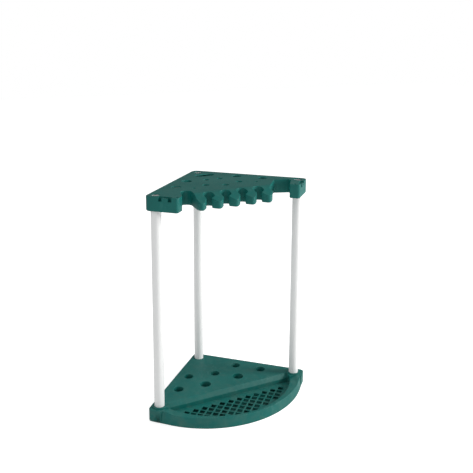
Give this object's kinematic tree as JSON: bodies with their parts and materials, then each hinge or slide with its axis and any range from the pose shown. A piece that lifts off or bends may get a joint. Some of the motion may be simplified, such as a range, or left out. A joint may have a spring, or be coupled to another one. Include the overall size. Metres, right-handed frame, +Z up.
{
  "type": "freestanding garden tool rack",
  "caption": "Corner rack for long garden tools: bowed base tray with a lattice pan and sockets, upright tubes, and a toothed top shelf with tool openings.",
  "frame": {"origin": "on the ground, under the middle of the rack's bounding box", "axes": "+X to the right seen from the front, +Y to the rear corner, +Z up"},
  "size_m": [0.7782, 0.6028, 0.9943],
  "materials": {
    "green_plastic": "satin moulded polypropylene",
    "white_tube": "smooth extruded"
  },
  "bodies": {
    "root": {"base_tray": "green_plastic", "top_shelf": "green_plastic", "left_post": "white_tube", "right_post": "white_tube", "rear_post": "white_tube"}
  },
  "joints": []
}
